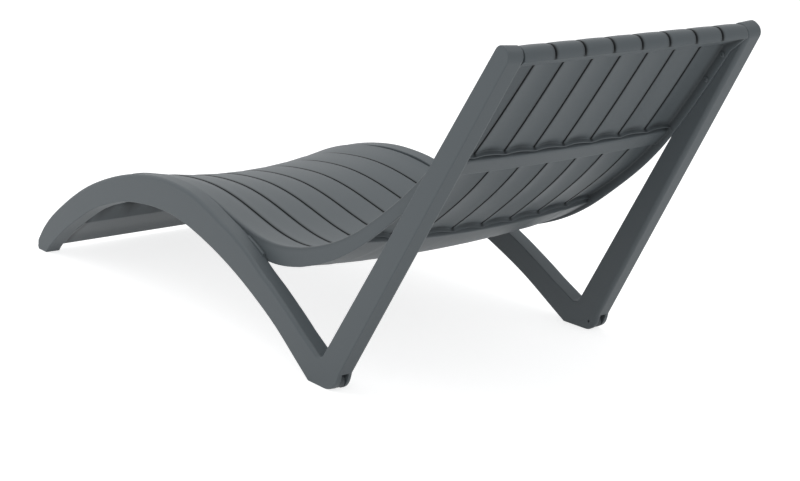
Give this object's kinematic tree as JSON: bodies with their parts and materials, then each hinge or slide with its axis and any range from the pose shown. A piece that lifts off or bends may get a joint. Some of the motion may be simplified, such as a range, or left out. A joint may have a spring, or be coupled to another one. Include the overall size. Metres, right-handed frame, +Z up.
{
  "type": "sun lounger",
  "caption": "Low sun lounger: a moulded, slatted, S-curved seat shell carried between two leaning side frames, with small heel wheels for rolling it away.",
  "frame": {"origin": "on the floor, under the middle of the lounger", "axes": "+Z up, +Y towards the head end, +X towards the lying user's left"},
  "size_m": [0.6996, 1.7997, 0.7045],
  "materials": {
    "slate_plastic": "satin moulded plastic, dark slate grey, fine soft grain",
    "pad_plastic": "matt hard rubber, dark grey",
    "wheel_plastic": "matt hard plastic, dark grey",
    "zinc_steel": "zinc-plated, slightly dull"
  },
  "bodies": {
    "root": {"seat_shell": "slate_plastic", "side_frame_left": "slate_plastic", "side_frame_right": "slate_plastic", "front_foot_pad_left": "pad_plastic", "front_foot_pad_right": "pad_plastic", "rear_foot_pad_left": "pad_plastic", "rear_foot_pad_right": "pad_plastic", "wheel_axle_left": "zinc_steel", "wheel_axle_right": "zinc_steel", "fixing_screw_left_1": "zinc_steel", "fixing_screw_left_2": "zinc_steel", "fixing_screw_left_3": "zinc_steel", "fixing_screw_left_4": "zinc_steel", "fixing_screw_left_5": "zinc_steel", "fixing_screw_left_6": "zinc_steel", "fixing_screw_right_1": "zinc_steel", "fixing_screw_right_2": "zinc_steel", "fixing_screw_right_3": "zinc_steel", "fixing_screw_right_4": "zinc_steel", "fixing_screw_right_5": "zinc_steel", "fixing_screw_right_6": "zinc_steel"},
    "wheel_left": {"wheel_left": "wheel_plastic"},
    "wheel_right": {"wheel_right": "wheel_plastic"}
  },
  "joints": [
    {"name": "wheel_left_spin", "type": "hinge", "parent": "root", "child": "wheel_left", "pos_m": [0.33057, 0.4444, 0.0206], "axis": [1, 0, 0], "continuous": true},
    {"name": "wheel_right_spin", "type": "hinge", "parent": "root", "child": "wheel_right", "pos_m": [-0.33057, 0.4444, 0.0206], "axis": [1, 0, 0], "continuous": true}
  ]
}
